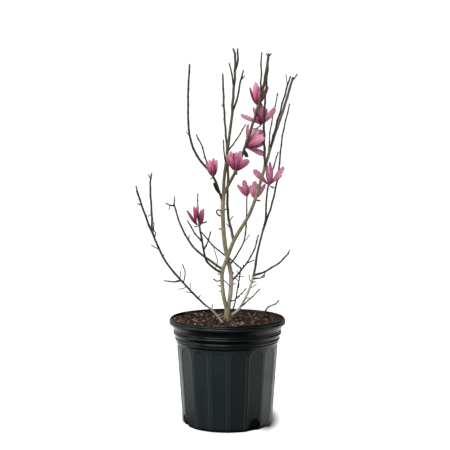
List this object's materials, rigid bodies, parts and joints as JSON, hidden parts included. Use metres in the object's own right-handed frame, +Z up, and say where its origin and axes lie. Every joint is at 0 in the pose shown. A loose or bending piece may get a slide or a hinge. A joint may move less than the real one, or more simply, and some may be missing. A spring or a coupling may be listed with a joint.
{
  "type": "potted magnolia shrub",
  "caption": "Young bare-branched magnolia shrub with pink blossoms, growing from bark mulch in a round black nursery pot with a rolled rim and arched side panels.",
  "frame": {"origin": "middle of the pot's flat underside, on the floor", "axes": "+Z up along the pot's axis and the plant's height, -Y towards the side the plant is seen from, +X to the right of that view"},
  "size_m": [0.3591, 0.27, 0.8741],
  "materials": {
    "pot": "satin black moulded plastic",
    "soil": "dark reddish-brown fine bark mulch",
    "wood": "smooth khaki-grey young bark",
    "twig": "thin dark grey-brown twigs with buds",
    "blossom": "soft pink petals on thin grey-brown twigs"
  },
  "bodies": {
    "root": {"back_bough": "wood", "back_left_low_shoot": "twig", "back_left_shoot": "twig", "back_stem": "wood", "foot_twig": "twig", "front_left_shoot": "blossom", "front_right_twig": "twig", "front_stem": "wood", "hidden_flower": "blossom", "inner_shoot": "twig", "leader": "wood", "leader_back_twig": "twig", "leader_bud_twig": "twig", "leader_twigs": "twig", "left_shoot": "blossom", "low_left_bough": "wood", "low_left_side_twig": "twig", "low_left_twigs": "twig", "low_right_bough": "wood", "low_right_twigs": "blossom", "middle_bough": "wood", "middle_flower": "blossom", "middle_twigs": "blossom", "pot": "pot", "right_front_shoot": "twig", "right_inner_shoot": "twig", "right_low_shoot": "twig", "right_low_twig": "twig", "right_outer_shoot": "twig", "right_twigs": "twig", "soil": "soil", "sucker": "twig", "thin_back_shoot": "blossom", "trunk": "wood"}
  },
  "joints": []
}
